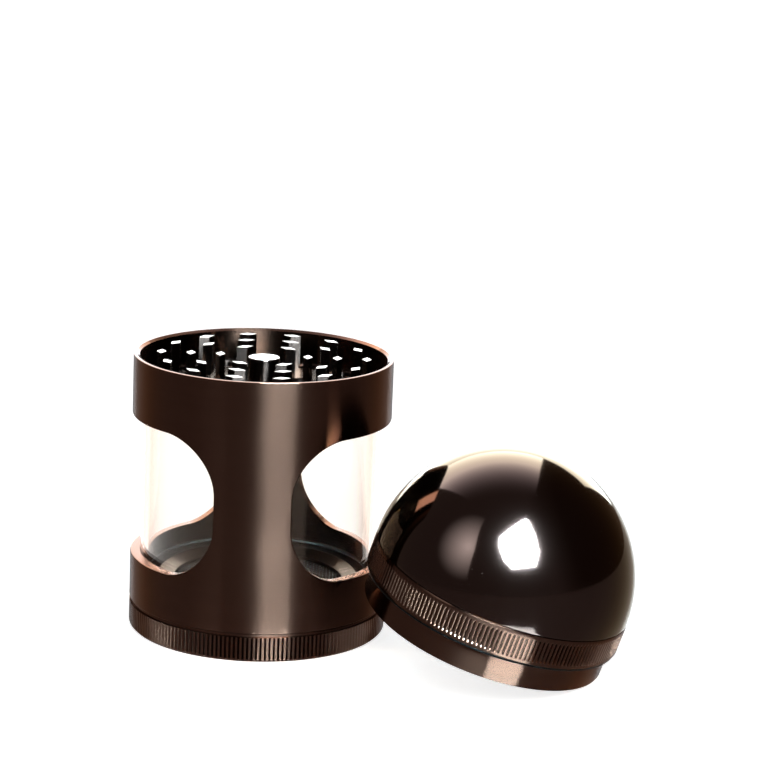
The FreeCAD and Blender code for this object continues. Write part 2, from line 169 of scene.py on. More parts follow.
def carve(bm, tool, operation):
    # a Boolean modifier, applied
    shapes = [addObject(part, "blank") for part in (bm, tool)]
    cut = shapes[0].modifiers.new("cut", "BOOLEAN")
    cut.operation = operation
    cut.solver = "MANIFOLD"
    cut.object = shapes[1]
    bpy.context.view_layer.update()
    ready = bpy.data.meshes.new_from_object(shapes[0].evaluated_get(bpy.context.evaluated_depsgraph_get()))
    result = bmesh.new()
    result.from_mesh(ready)
    bpy.data.meshes.remove(ready)
    for blank in shapes:
        mesh = blank.data
        bpy.data.objects.remove(blank)
        bpy.data.meshes.remove(mesh)
    return result


def wrapRound(bm):
    # a UV map that runs round the piece, so that brushed gloss follows the lathe
    layer = bm.loops.layers.uv.new(latheMap["name"])
    for face in bm.faces:
        middle = face.calc_center_median()
        facing = math.atan2(middle.y, middle.x)
        lying = abs(face.normal.z) > latheMap["flatFacing"]
        for loop in face.loops:
            place = loop.vert.co
            off = math.atan2(place.y, place.x) - facing
            off = (off + math.pi) % fullTurn - math.pi
            across = math.hypot(place.x, place.y) if lying else place.z
            loop[layer].uv = ((facing + off) / fullTurn, across * latheMap["perMetre"])


def makePiece(bm, name, material, body, nodes, place=bodyPlace, crease=32):
    wrapRound(bm)
    bmesh.ops.transform(bm, matrix=place, verts=bm.verts[:])
    for face in bm.faces:
        face.smooth = True
    for edge in bm.edges:
        edge.smooth = edge.calc_face_angle(0) < math.radians(crease)
    piece = addObject(bm, name)
    piece.data.materials.append(material)
    evenNormals = piece.modifiers.new("evenNormals", "WEIGHTED_NORMAL")
    evenNormals.keep_sharp = True
    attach(piece, body)
    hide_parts(*nodes)
    print("made", name, "with", len(piece.data.polygons), "faces")


# effects that several materials share are node groups, built once
def newGroup(name, inputs, outputs):
    group = bpy.data.node_groups.new(name, "ShaderNodeTree")
    for label, kind, value in inputs:
        socket = group.interface.new_socket(label, in_out="INPUT", socket_type=kind)
        if value is not None:
            socket.default_value = value
    for label, kind in outputs:
        group.interface.new_socket(label, in_out="OUTPUT", socket_type=kind)
    return group, group.nodes.new("NodeGroupInput"), group.nodes.new("NodeGroupOutput")


def feed(tree, value, socket):
    # a number is set, another node's output is linked
    if isinstance(value, (int, float)):
        socket.default_value = value
    else:
        tree.links.new(value, socket)


def addMath(tree, operation, *values):
    node = tree.nodes.new("ShaderNodeMath")
    node.operation = operation
    for value, socket in zip(values, node.inputs):
        feed(tree, value, socket)
    return node.outputs[0]


def addNoise(tree, vector, scale, detail, dimensions="3D"):
    node = tree.nodes.new("ShaderNodeTexNoise")
    node.noise_dimensions = dimensions
    tree.links.new(vector, node.inputs["W" if dimensions == "1D" else "Vector"])
    feed(tree, scale, node.inputs["Scale"])
    node.inputs["Detail"].default_value = detail
    return node.outputs["Fac"]


def addRange(tree, value, fromLow, fromHigh, toLow=0, toHigh=1):
    node = tree.nodes.new("ShaderNodeMapRange")
    tree.links.new(value, node.inputs["Value"])
    limits = {"From Min": fromLow, "From Max": fromHigh, "To Min": toLow, "To Max": toHigh}
    for label, number in limits.items():
        node.inputs[label].default_value = number
    return node.outputs["Result"]


# fine rings that the lathe leaves, round walls and across flats alike
latheMarks = dict(ringsPerMetre=6000.0, fineDetail=2, coarsePerMetre=420, coarseDetail=3, radiusShare=0.77,
                  coarseShade=0.6, fineShade=0.4)
latheGroup, latheIn, latheOut = newGroup(
    "latheRings",
    [("Place", "NodeSocketVector", None),
     ("Rings per metre", "NodeSocketFloat", latheMarks["ringsPerMetre"])],
    [("Height", "NodeSocketFloat"), ("Shade", "NodeSocketFloat")])
latheSplit = latheGroup.nodes.new("ShaderNodeSeparateXYZ")
latheGroup.links.new(latheIn.outputs["Place"], latheSplit.inputs[0])
latheRadius = addMath(latheGroup, "SQRT", addMath(
    latheGroup, "ADD", addMath(latheGroup, "POWER", latheSplit.outputs["X"], 2),
    addMath(latheGroup, "POWER", latheSplit.outputs["Y"], 2)))
latheTravel = addMath(latheGroup, "MULTIPLY_ADD", latheRadius, latheMarks["radiusShare"],
                      latheSplit.outputs["Z"])
latheFine = addNoise(latheGroup, latheTravel, latheIn.outputs["Rings per metre"],
                     latheMarks["fineDetail"], "1D")
latheCoarse = addNoise(latheGroup, latheTravel, latheMarks["coarsePerMetre"],
                       latheMarks["coarseDetail"], "1D")
latheGroup.links.new(latheFine, latheOut.inputs["Height"])
latheShade = addMath(latheGroup, "MULTIPLY_ADD", latheCoarse, latheMarks["coarseShade"],
                     addMath(latheGroup, "MULTIPLY", latheFine, latheMarks["fineShade"]))
latheGroup.links.new(latheShade, latheOut.inputs["Shade"])

# soft marks of handling, and grains of dust
handling = dict(markScale=70.0, markDetail=5, markFrom=0.42, markFull=0.72, dustScale=900.0,
                patchScale=140, patchDetail=2, patchFrom=0.5, patchFull=0.75, grainSize=0.12)
handlingGroup, handlingIn, handlingOut = newGroup(
    "handlingMarks",
    [("Place", "NodeSocketVector", None), ("Mark scale", "NodeSocketFloat", handling["markScale"]),
     ("Dust scale", "NodeSocketFloat", handling["dustScale"])],
    [("Smudge", "NodeSocketFloat"), ("Dust", "NodeSocketFloat")])
smudgeNoise = addNoise(handlingGroup, handlingIn.outputs["Place"], handlingIn.outputs["Mark scale"],
                       handling["markDetail"])
smudge = addRange(handlingGroup, smudgeNoise, handling["markFrom"], handling["markFull"])
handlingGroup.links.new(smudge, handlingOut.inputs["Smudge"])
dustCells = handlingGroup.nodes.new("ShaderNodeTexVoronoi")
handlingGroup.links.new(handlingIn.outputs["Place"], dustCells.inputs["Vector"])
handlingGroup.links.new(handlingIn.outputs["Dust scale"], dustCells.inputs["Scale"])
dustNoise = addNoise(handlingGroup, handlingIn.outputs["Place"], handling["patchScale"],
                     handling["patchDetail"])
dustSize = addRange(handlingGroup, dustNoise, handling["patchFrom"], handling["patchFull"],
                    0, handling["grainSize"])
handlingGroup.links.new(addMath(handlingGroup, "LESS_THAN", dustCells.outputs["Distance"], dustSize),
                        handlingOut.inputs["Dust"])


def backFrom(tree, where, place):
    # undoes a place, so that coordinates run along the piece's own axes
    node = tree.nodes.new("ShaderNodeMapping")
    node.vector_type = "TEXTURE"
    node.inputs["Location"].default_value = place.to_translation()
    node.inputs["Rotation"].default_value = place.to_euler()
    tree.links.new(where, node.inputs["Vector"])
    return node.outputs["Vector"]


def startMaterial(name, place=bodyPlace):
    material = bpy.data.materials.new(name)
    material.use_nodes = True
    tree = material.node_tree
    shader = tree.nodes["Principled BSDF"]
    where = tree.nodes.new("ShaderNodeTexCoord").outputs["Object"]
    if place is not bodyPlace:
        where = backFrom(tree, where, place)
    return material, tree, shader, where


def placeGroup(tree, group, where, **values):
    node = tree.nodes.new("ShaderNodeGroup")
    node.node_tree = group
    tree.links.new(where, node.inputs["Place"])
    for label, value in values.items():
        node.inputs[label.replace("_", " ")].default_value = value
    return node


def addMarks(tree, where, finish):
    return placeGroup(tree, handlingGroup, where, Mark_scale=finish["markScale"],
                      Dust_scale=finish["dustScale"])


def wornRoughness(tree, marks, finish):
    return addMath(tree, "MULTIPLY_ADD", marks.outputs["Smudge"], finish["smudgeRoughness"],
                   finish["roughness"])


def mixColours(tree, factor, first, second):
    node = tree.nodes.new("ShaderNodeMix")
    node.data_type = "RGBA"    # its colours are inputs 6 and 7 and output 2, after the other kinds'
    tree.links.new(factor, node.inputs["Factor"])
    node.inputs[6].default_value = (*first, 1)
    node.inputs[7].default_value = (*second, 1)
    return node.outputs[2]


def addBump(tree, shader, height, distance):
    node = tree.nodes.new("ShaderNodeBump")
    node.inputs["Strength"].default_value = 1
    node.inputs["Distance"].default_value = distance
    tree.links.new(height, node.inputs["Height"])
    tree.links.new(node.outputs["Normal"], shader.inputs["Normal"])


acrossLathe = 0.25    # a quarter turn, in turns, lays the gloss across the lathe's rings


def metalFinish(name, finish, place=bodyPlace):
    material, tree, shader, where = startMaterial(name, place)
    rings = placeGroup(tree, latheGroup, where, Rings_per_metre=finish["ringsPerMetre"])
    marks = addMarks(tree, where, finish)
    shader.inputs["Metallic"].default_value = 1
    shader.inputs["Specular IOR Level"].default_value = 0
    shader.inputs["Specular Tint"].default_value = (*finish["edgeTint"], 1)
    if "edgeHold" in finish:    # the dark layer keeps the very edges from going white
        facing = tree.nodes.new("ShaderNodeLayerWeight").outputs["Facing"]
        tree.links.new(addRange(tree, facing, *finish["edgeHold"]), shader.inputs["Metallic"])
    tree.links.new(mixColours(tree, rings.outputs["Shade"], finish["deep"], finish["pale"]),
                   shader.inputs["Base Color"])
    worn = wornRoughness(tree, marks, finish)
    dusty = addMath(tree, "MULTIPLY_ADD", marks.outputs["Dust"], finish["dustRoughness"], worn)
    tree.links.new(dusty, shader.inputs["Roughness"])
    if finish["brushed"]:
        shader.inputs["Anisotropic"].default_value = finish["brushed"]
        shader.inputs["Anisotropic Rotation"].default_value = acrossLathe
        tangent = tree.nodes.new("ShaderNodeTangent")
        tangent.direction_type = "UV_MAP"
        tangent.uv_map = latheMap["name"]
        tree.links.new(tangent.outputs["Tangent"], shader.inputs["Tangent"])
    addBump(tree, shader, rings.outputs["Height"], finish["ringDepth"])
    return material


anodised = dict(deep=(0.0132, 0.0053, 0.0034), pale=(0.0162, 0.0067, 0.0044), edgeTint=(0.68, 0.57, 0.53),
                edgeHold=(0.58, 0.92, 1, 0.2), brushed=1.0,
                roughness=0.135, smudgeRoughness=0.015, dustRoughness=0.1,
                ringsPerMetre=5200.0, ringDepth=1.5e-6, markScale=60.0, dustScale=900.0)
polished = dict(deep=(0.0102, 0.0052, 0.0041), pale=(0.0112, 0.0058, 0.0047), edgeTint=(0.7, 0.64, 0.58),
                roughness=0.075, smudgeRoughness=0.01, dustRoughness=0.12, brushed=0.0,
                ringsPerMetre=2500.0, ringDepth=2e-8, markScale=45.0, dustScale=700.0)
milled = dict(deep=(0.009, 0.0047, 0.0037), pale=(0.0135, 0.0075, 0.006), edgeTint=(0.8, 0.72, 0.66),
              roughness=0.14, smudgeRoughness=0.03, dustRoughness=0.1, brushed=1.0,
              ringsPerMetre=3800.0, ringDepth=2e-6, markScale=110.0, dustScale=1100.0)
turnedRing = dict(deep=(0.009, 0.0042, 0.003), pale=(0.015, 0.0074, 0.0055), edgeTint=(0.8, 0.72, 0.66),
                  roughness=0.3, smudgeRoughness=0.08, dustRoughness=0.2, brushed=0.0,
                  ringsPerMetre=3000.0, ringDepth=2e-6, markScale=130.0, dustScale=1100.0)
nickel = dict(deep=(0.62, 0.6, 0.56), pale=(0.74, 0.72, 0.68), edgeTint=(1.0, 1.0, 1.0),
              roughness=0.18, smudgeRoughness=0.12, dustRoughness=0.2, brushed=0.0,
              ringsPerMetre=3000.0, ringDepth=1e-6, markScale=400.0, dustScale=1500.0)
steelWire = dict(deep=(0.05, 0.036, 0.031), pale=(0.075, 0.057, 0.05), edgeTint=(1.0, 1.0, 1.0),
                 roughness=0.36, smudgeRoughness=0.12, dustRoughness=0.1, brushed=0.0,
                 ringsPerMetre=9000.0, ringDepth=1e-6, markScale=160.0, dustScale=1500.0)

bodyAnodised = metalFinish("bodyAnodised", anodised)
lidAnodised = metalFinish("lidAnodised", anodised, lidPlace)
domePolish = metalFinish("domePolish", polished, lidPlace)
bodyMilled = metalFinish("bodyMilled", milled)
ringTurned = metalFinish("ringTurned", turnedRing)
bodyNickel = metalFinish("bodyNickel", nickel)
lidNickel = metalFinish("lidNickel", nickel, lidPlace)
wireSteel = metalFinish("wireSteel", steelWire)


def softFinish(name, finish, place=bodyPlace):
    # rubber and plain plastic: a mottled colour and a fine moulded grain
    material, tree, shader, where = startMaterial(name, place)
    marks = addMarks(tree, where, finish)
    tree.links.new(mixColours(tree, marks.outputs["Smudge"], finish["deep"], finish["pale"]),
                   shader.inputs["Base Color"])
    tree.links.new(wornRoughness(tree, marks, finish), shader.inputs["Roughness"])
    shader.inputs["Specular IOR Level"].default_value = finish["gloss"]
    grain = addNoise(tree, where, finish["grainScale"], finish["grainDetail"])
    addBump(tree, shader, grain, finish["grainDepth"])
    return material


rubber = dict(deep=(0.018, 0.017, 0.016), pale=(0.03, 0.028, 0.026), roughness=0.55, smudgeRoughness=0.15,
              gloss=0.2, markScale=120.0, dustScale=1200.0, grainScale=5000.0, grainDetail=2, grainDepth=4e-6)
plastic = dict(deep=(0.004, 0.0035, 0.003), pale=(0.007, 0.006, 0.0055), roughness=0.3, smudgeRoughness=0.1,
               gloss=0.005, markScale=150.0, dustScale=1200.0, grainScale=4000.0, grainDetail=2,
               grainDepth=3e-6)
sealRubber = softFinish("sealRubber", rubber)
glidePlastic = softFinish("glidePlastic", plastic, lidPlace)

# the edge tint and its range paint a warm refraction onto the tube's sides, where they are seen edge-on
clear = dict(tint=(1.0, 0.98, 0.955), paintedEdgeTint=(1.0, 0.55, 0.35), paintedEdgeFrom=0.5, paintedEdgeFull=0.95,
             roughness=0.0, smudgeRoughness=0.004, bend=1.49, haze=0.0005,
             gloss=0.2, glossTint=(0.3, 0.22, 0.17),
             depthColour=(1.0, 0.93, 0.85), depthDensity=70.0, markScale=50.0, dustScale=800.0)
clearTube, tubeTree, tubeShader, tubeWhere = startMaterial("clearTube")
tubeMarks = addMarks(tubeTree, tubeWhere, clear)
tubeFacing = tubeTree.nodes.new("ShaderNodeLayerWeight").outputs["Facing"]    # painted refraction: its sides, seen edge-on, are tinted warm
tubePaintedEdge = addRange(tubeTree, tubeFacing, clear["paintedEdgeFrom"], clear["paintedEdgeFull"])
tubeTree.links.new(mixColours(tubeTree, tubePaintedEdge, clear["tint"], clear["paintedEdgeTint"]),
                   tubeShader.inputs["Base Color"])
tubeShader.inputs["Specular IOR Level"].default_value = clear["gloss"]
tubeShader.inputs["Specular Tint"].default_value = (*clear["glossTint"], 1)
tubeShader.inputs["IOR"].default_value = clear["bend"]
tubeShader.inputs["Transmission Weight"].default_value = 1 - clear["haze"]
tubeTree.links.new(wornRoughness(tubeTree, tubeMarks, clear), tubeShader.inputs["Roughness"])
tubeDepth = tubeTree.nodes.new("ShaderNodeVolumeAbsorption")    # long looks through the wall turn warm
tubeDepth.inputs["Color"].default_value = (*clear["depthColour"], 1)
tubeDepth.inputs["Density"].default_value = clear["depthDensity"]
tubeTree.links.new(tubeDepth.outputs["Volume"], tubeTree.nodes["Material Output"].inputs["Volume"])
print("finishes ready")

# the catcher that screws on underneath: knurled grip, dark groove, threaded spigot, round-bottomed cup
outerRadius = 31.5
knurl = dict(bars=188, rounds=2, gripDepths=(0, 0, 0, 0, 0, 0.24, 0.32, 0.24),
             lidDepths=(0, 0, 0, 0, 0, 0.14, 0.28, 0.28))
knurlSteps = knurl["bars"] * len(knurl["lidDepths"])
catcher = dict(bevel=0.6, baseRound=0.12, bevelRound=0.15, barsLow=-1, gripTop=6.05, gripEdge=0.03,
               reliefRadius=30.95, shoulder=6.9, shoulderRound=0.08,
               spigotRadius=28.7, spigotRoot=0.2, spigotLead=0.4, top=11.4, topRound=0.1,
               seatRadius=27.4, seat=10.6, seatRoot=0.06, seatRound=0.15,
               cupRadius=26.0, cupFloor=2.4, cupFillet=4.0,
               threadSunk=0.1, threadReach=0.3, threadHeight=0.75, threadPitch=1.5, threadTurns=1.9,
               threadStart=7.4, threadSteps=288)
cup = turned([
    (0, 0, 0),
    (outerRadius - catcher["bevel"], 0, catcher["baseRound"]),
    (outerRadius, catcher["bevel"], catcher["bevelRound"]),
    (outerRadius, catcher["gripTop"] - catcher["gripEdge"], 0),
    (outerRadius - catcher["gripEdge"], catcher["gripTop"], 0),
    (catcher["reliefRadius"], catcher["gripTop"], 0),
    (catcher["reliefRadius"], catcher["shoulder"], catcher["shoulderRound"]),
    (catcher["spigotRadius"], catcher["shoulder"], catcher["spigotRoot"]),
    (catcher["spigotRadius"], catcher["top"], catcher["spigotLead"]),
    (catcher["seatRadius"], catcher["top"], catcher["topRound"]),
    (catcher["seatRadius"], catcher["seat"], catcher["seatRoot"]),
    (catcher["cupRadius"], catcher["seat"], catcher["seatRound"]),
    (catcher["cupRadius"], catcher["cupFloor"], catcher["cupFillet"]),
    (0, catcher["cupFloor"], 0),
], steps=knurlSteps, rounds=knurl["rounds"])
pressKnurl(cup, knurl["gripDepths"], catcher["barsLow"], catcher["gripTop"])
threadRoot = catcher["spigotRadius"] - catcher["threadSunk"]
threadCrest = catcher["spigotRadius"] + catcher["threadReach"]
thread = bmesh.new()
drawSection(thread, [
    (threadRoot, catcher["threadStart"], 0),
    (threadCrest, catcher["threadStart"] + catcher["threadHeight"] / 2, 0),
    (threadRoot, catcher["threadStart"] + catcher["threadHeight"], 0),
])
bmesh.ops.spin(
    thread, geom=thread.faces[:], cent=(0, 0, 0), axis=(0, 0, 1), steps=catcher["threadSteps"],
    angle=fullTurn * catcher["threadTurns"],
    dvec=(0, 0, catcher["threadPitch"] * catcher["threadTurns"] / catcher["threadSteps"] * mm))
bmesh.ops.recalc_face_normals(thread, faces=thread.faces[:])
joinMeshes(cup, thread)
makePiece(cup, "knurledCatcher", bodyAnodised, "catcher", ["catcher_cup"])

# the woven wire screen: round wires that pass over and under each other
screen = dict(radius=27.3, middle=10.8, pitch=0.84, wire=0.24, sway=0.07, sides=4, bends=4, crease=80)
wireCount = 2 * int(screen["radius"] / screen["pitch"]) + 1
wireHalf = (wireCount - 1) / 2 * screen["pitch"]
weave = bmesh.new()
for crossing in (0, 1):
    for index in range(wireCount):
        across = index * screen["pitch"] - wireHalf
        reach = math.sqrt(max(screen["radius"] ** 2 - across ** 2, 0)) - screen["wire"]
        crossings = int(reach / screen["pitch"])
        if crossings < 1:
            continue
        half = crossings * screen["pitch"]
        wire = bmesh.new()
        bmesh.ops.create_circle(wire, cap_ends=True, segments=screen["sides"], radius=screen["wire"] / 2 * mm)
        pullOut(wire, (0, 0, 2 * half * mm))
        lengthwise = [edge for edge in wire.edges if edge.calc_length() > half * mm]
        bmesh.ops.subdivide_edges(wire, edges=lengthwise, cuts=screen["bends"] * crossings - 1,
                                  use_grid_fill=True)
        laid = Matrix.Translation((-half * mm, across * mm, 0)) @ Matrix.Rotation(math.pi / 2, 4, "Y")
        bmesh.ops.transform(wire, matrix=laid, verts=wire.verts[:])
        for vert in wire.verts:
            phase = vert.co.x / (screen["pitch"] * mm) + index + crossing
            vert.co.z += screen["sway"] * math.cos(math.pi * phase) * mm
        turnBy(wire, math.pi / 2 * crossing, wire.verts[:])
        joinMeshes(weave, wire)
bmesh.ops.translate(weave, vec=(0, 0, screen["middle"] * mm), verts=weave.verts[:])
bmesh.ops.recalc_face_normals(weave, faces=weave.faces[:])
makePiece(weave, "wovenScreen", wireSteel, "catcher", ["screen_mesh"],
          crease=screen["crease"])

# the ring that holds the screen down, with a funnel to its throat
ring = dict(foot=11.0, footRadius=27.3, step=11.4, radius=28.7, top=13.2, mouth=24.3, throat=20.7, funnel=1.3,
            edgeRound=0.1, stepRoot=0.05, topRound=0.2, mouthRound=0.15)
makePiece(turned([
    (ring["throat"], ring["foot"], ring["edgeRound"]),
    (ring["footRadius"], ring["foot"], ring["edgeRound"]),
    (ring["footRadius"], ring["step"], ring["stepRoot"]),
    (ring["radius"], ring["step"], ring["edgeRound"]),
    (ring["radius"], ring["top"], ring["topRound"]),
    (ring["mouth"], ring["top"], ring["mouthRound"]),
    (ring["throat"], ring["top"] - ring["funnel"], ring["edgeRound"]),
]), "screenRing", ringTurned, "catcher", ["screen_ring"])

# the clear tube between its two seals
tube = dict(bore=27.2, radius=29.0, foot=14.05, top=55.1, edgeRound=0.15)
makePiece(squareRing(tube["bore"], tube["radius"], tube["foot"], tube["top"], tube["edgeRound"]),
          "clearTube", clearTube, "tube", ["window_tube"])
seal = dict(bore=27.2, radius=28.9, low=13.25, high=55.9, edgeRound=0.3)
seals = (("tubeSealBottom", "tube_seal_bottom", seal["low"], tube["foot"]),
         ("tubeSealTop", "tube_seal_top", tube["top"], seal["high"]))
for sealName, sealNode, sealFoot, sealTop in seals:
    makePiece(squareRing(seal["bore"], seal["radius"], sealFoot, sealTop, seal["edgeRound"]),
              sealName, sealRubber, "tube", [sealNode])

# the sleeve: a quarter of its wall is cut flat, with the window's corner, then rolled up and mirrored
sleeve = dict(foot=6.95, ledgeFoot=55.95, ledge=57.2, rim=67.8, wall=2.4, ledgeDepth=4.1, rimWall=1.5,
              footRound=0.35, footInnerRound=0.2, ledgeRound=0.1,
              rimOuterRound=0.08, rimFlat=0.8, rimDrop=0.5,
              windowLow=18.5, windowHigh=52.9, windowRound=0.35, windowRounds=2,
              pillarHalf=17.2, corner=13.6, cornerRounds=40, slices=150)
near = dict(touch=0.001, window=0.01, endFacing=0.9, sharpAngle=1)    # mm, mm, part of a normal, radians
pillarEdge = outerRadius * math.radians(sleeve["pillarHalf"])
cornerAngle = math.radians(sleeve["pillarHalf"]) + math.asin(sleeve["corner"] / outerRadius)
cornerEnd = pillarEdge + sleeve["corner"]
quarterEnd = cornerEnd + outerRadius * (math.pi / 2 - cornerAngle)


def rollAngle(along):
    # where a distance along the flat wall comes to lie round the sleeve, from the front pillar's middle
    if along <= pillarEdge:
        return along / outerRadius
    if along <= cornerEnd:
        return cornerAngle - math.asin((cornerEnd - along) / outerRadius)
    return cornerAngle + (along - cornerEnd) / outerRadius


def flatPlace(angle):
    if angle <= math.radians(sleeve["pillarHalf"]):
        return angle * outerRadius
    if angle <= cornerAngle:
        return cornerEnd - outerRadius * math.sin(cornerAngle - angle)
    return cornerEnd + (angle - cornerAngle) * outerRadius


def sliceAt(bm, place, normal):
    bmesh.ops.bisect_plane(bm, geom=everything(bm), dist=sliceDistance, plane_co=place, plane_no=normal)


wall = bmesh.new()
drawSection(wall, [
    (0, sleeve["foot"], sleeve["footRound"]),
    (sleeve["wall"], sleeve["foot"], sleeve["footInnerRound"]),
    (sleeve["wall"], sleeve["ledgeFoot"], 0),
    (sleeve["ledgeDepth"], sleeve["ledgeFoot"], sleeve["ledgeRound"]),
    (sleeve["ledgeDepth"], sleeve["ledge"], sleeve["ledgeRound"]),
    (sleeve["rimWall"], sleeve["ledge"], sleeve["ledgeRound"]),
    (sleeve["rimWall"], sleeve["rim"] - sleeve["rimDrop"], 0),
    (sleeve["rimFlat"], sleeve["rim"], 0),
    (0, sleeve["rim"], sleeve["rimOuterRound"]),
])
turnBy(wall, math.pi / 2, wall.verts[:])
pullOut(wall, (quarterEnd * mm, 0, 0))
ends = [face for face in wall.faces if abs(face.normal.x) > near["endFacing"]]
bmesh.ops.delete(wall, geom=ends, context="FACES_ONLY")
sliceAt(wall, (pillarEdge * mm, 0, 0), (1, 0, 0))
sliceAt(wall, (0, 0, sleeve["windowLow"] * mm), (0, 0, 1))
sliceAt(wall, (0, 0, sleeve["windowHigh"] * mm), (0, 0, 1))
opening = []
for face in wall.faces:
    middle = face.calc_center_median() / mm
    if middle.x > pillarEdge and sleeve["windowLow"] < middle.z < sleeve["windowHigh"]:
        opening.append(face)
bmesh.ops.delete(wall, geom=opening, context="FACES")
lips = []
for edge in wall.edges:
    middle = (edge.verts[0].co + edge.verts[1].co) / 2 / mm
    atEnd = middle.x < near["touch"] or middle.x > quarterEnd - near["touch"]
    if edge.is_boundary and not atEnd:
        lips.append(edge)
bmesh.ops.bridge_loops(wall, edges=lips)
cornerEdges = []
sills = (sleeve["windowLow"], sleeve["windowHigh"])
for edge in wall.edges:
    first, second = (vert.co / mm for vert in edge.verts)
    acrossWall = abs(first.y - second.y) > sleeve["wall"] / 2
    atPillar = all(abs(point.x - pillarEdge) < near["touch"] for point in (first, second))
    atSill = any(abs(first.z - height) < near["touch"] for height in sills)
    if acrossWall and atPillar and atSill:
        cornerEdges.append(edge)
roundOff(wall, cornerEdges, sleeve["corner"], sleeve["cornerRounds"])
windowRim = []
rimLow = sleeve["windowLow"] - near["window"]
rimHigh = sleeve["windowHigh"] + near["window"]
for edge in wall.edges:
    points = [vert.co / mm for vert in edge.verts]
    onFront = all(abs(point.y) < near["touch"] for point in points)
    inside = all(rimLow < point.z < rimHigh for point in points)
    if onFront and inside and edge.calc_face_angle(0) > near["sharpAngle"]:
        windowRim.append(edge)
roundOff(wall, windowRim, sleeve["windowRound"], sleeve["windowRounds"])
for step in range(1, sleeve["slices"]):
    sliceAt(wall, (flatPlace(math.pi / 2 * step / sleeve["slices"]) * mm, 0, 0), (1, 0, 0))
for vert in wall.verts:
    angle = rollAngle(vert.co.x / mm)
    radius = outerRadius * mm - vert.co.y
    vert.co.x = radius * math.sin(angle)
    vert.co.y = -radius * math.cos(angle)
for mirrorAxis in ("X", "Y"):
    bmesh.ops.mirror(wall, geom=everything(wall), matrix=Matrix.Identity(4), merge_dist=seamDistance,
                     axis=mirrorAxis)
bmesh.ops.remove_doubles(wall, verts=wall.verts[:], dist=mergeDistance)
bmesh.ops.recalc_face_normals(wall, faces=wall.faces[:])
makePiece(wall, "windowedSleeve", bodyAnodised, "sleeve", ["body_sleeve"])

# the grinding plate: a disc with a post for the magnet and holes for what is ground to fall through
plate = dict(foot=57.2, top=60.3, radius=29.95, edgeRound=0.15, postRadius=3.8, postTop=67.1, postRoot=0.5,
             postRound=0.25, pocketRadius=3.05, pocketFloor=64.2, pocketRound=0.05, steps=192,
             holeRadius=3.0, holeBevel=0.3, holeSteps=32, drillOver=1,
             holeRings=((10.6, 6), (24.0, 14)))    # radius and count
disc = turned([
    (0, plate["foot"], 0),
    (plate["radius"], plate["foot"], plate["edgeRound"]),
    (plate["radius"], plate["top"], plate["edgeRound"]),
    (plate["postRadius"], plate["top"], plate["postRoot"]),
    (plate["postRadius"], plate["postTop"], plate["postRound"]),
    (plate["pocketRadius"], plate["postTop"], plate["pocketRound"]),
    (plate["pocketRadius"], plate["pocketFloor"], 0),
    (0, plate["pocketFloor"], 0),
], steps=plate["steps"])
drillFoot = plate["foot"] - plate["drillOver"]
drillTop = plate["top"] + plate["drillOver"]
drillFlare = plate["holeRadius"] + plate["drillOver"] + plate["holeBevel"]
drills = bmesh.new()
for holeRing, holeCount in plate["holeRings"]:
    drill = turned([
        (0, drillFoot, 0),
        (drillFlare, drillFoot, 0),
        (plate["holeRadius"], plate["foot"] + plate["holeBevel"], 0),
        (plate["holeRadius"], plate["top"] - plate["holeBevel"], 0),
        (drillFlare, drillTop, 0),
        (0, drillTop, 0),
    ], steps=plate["holeSteps"])
    bmesh.ops.translate(drill, vec=(holeRing * mm, 0, 0), verts=drill.verts[:])
    turnBy(drill, fullTurn / holeCount / 2, drill.verts[:])
    ringOf(drill, holeCount)
    joinMeshes(drills, drill)
makePiece(carve(disc, drills, "DIFFERENCE"), "grindPlate", bodyMilled, "sleeve", ["grind_plate"])

tooth = dict(top=67.5, long=4.5, wide=2.3, corners=4, edge=0.04, edgeRounds=2,
             plateRings=((10.6, 6), (17.75, 10), (24.9, 14)), lidRings=((14.175, 8), (21.325, 12)))


def cutTeeth(rings, foot, top, bevelTop):
    # diamond teeth, long way round the axis, in rings of (radius, count)
    teeth = bmesh.new()
    for radius, count in rings:
        blank = bmesh.new()
        bmesh.ops.create_circle(blank, cap_ends=True, segments=tooth["corners"], radius=1)
        bmesh.ops.scale(blank, vec=(tooth["wide"] / 2 * mm, tooth["long"] / 2 * mm, 1), verts=blank.verts[:])
        bmesh.ops.translate(blank, vec=(radius * mm, 0, foot * mm), verts=blank.verts[:])
        pullOut(blank, (0, 0, (top - foot) * mm))
        bmesh.ops.recalc_face_normals(blank, faces=blank.faces[:])
        free = top if bevelTop else foot
        sharp = [edge for edge in blank.edges
                 if any(abs(vert.co.z - free * mm) < mergeDistance for vert in edge.verts)]
        roundOff(blank, sharp, tooth["edge"], tooth["edgeRounds"])
        ringOf(blank, count)
        joinMeshes(teeth, blank)
    return teeth


makePiece(cutTeeth(tooth["plateRings"], plate["top"], tooth["top"], True), "plateTeeth", bodyMilled, "sleeve",
          ["plate_teeth"])

magnet = dict(radius=3.0, edgeRound=0.2, steps=96, plateFoot=64.25, plateTop=67.05, lidFoot=6.05, lidTop=8.85)


def magnetDisc(foot, top):
    return turned([
        (0, foot, 0),
        (magnet["radius"], foot, magnet["edgeRound"]),
        (magnet["radius"], top, magnet["edgeRound"]),
        (0, top, 0),
    ], steps=magnet["steps"])


makePiece(magnetDisc(magnet["plateFoot"], magnet["plateTop"]), "plateMagnet", bodyNickel, "sleeve",
          ["plate_magnet"])

